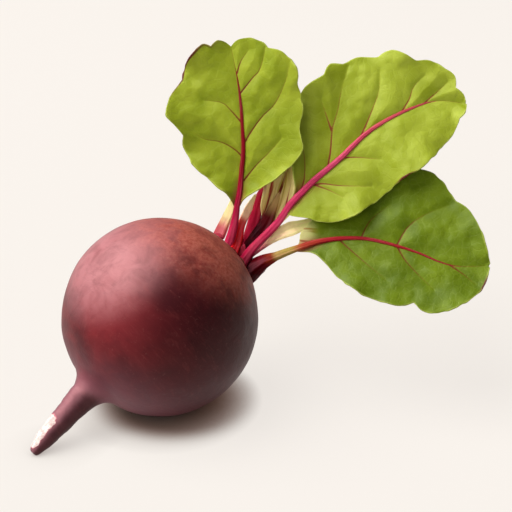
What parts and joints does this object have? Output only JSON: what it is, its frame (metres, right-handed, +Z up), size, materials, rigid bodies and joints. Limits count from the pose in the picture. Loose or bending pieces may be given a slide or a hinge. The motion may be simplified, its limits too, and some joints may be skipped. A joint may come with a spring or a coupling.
{
  "type": "beetroot",
  "caption": "Whole fresh beetroot with its taproot and leafy crimson stems, lying on a small flat spot under the bulb.",
  "frame": {"origin": "Middle of the small flat spot under the bulb that the beetroot rests on.", "axes": "+Z up out of the surface it lies on. +X runs along its longest extent, from the taproot to the leaf tips. +Y goes to the back: the taproot points to the front left and the crown to the back right."},
  "size_m": [0.1689, 0.1136, 0.1317],
  "materials": {
    "skin": "dull moist root skin",
    "stem": "smooth crimson leaf stem",
    "leaf": "fresh green leaf blade",
    "young_leaf": "pale folded young leaf with red streaks"
  },
  "bodies": {
    "root": {"beet_root": "skin", "left_leaf_stem": "stem", "left_leaf_blade": "leaf", "right_leaf_stem": "stem", "right_leaf_blade": "leaf", "low_leaf_stem": "stem", "low_leaf_blade": "leaf", "middle_leaf_stem": "stem", "middle_leaf_blade": "leaf", "back_leaf_stem": "stem", "back_leaf_blade": "leaf", "front_young_leaf": "young_leaf", "left_young_leaf": "young_leaf", "right_young_leaf": "young_leaf"}
  },
  "joints": []
}
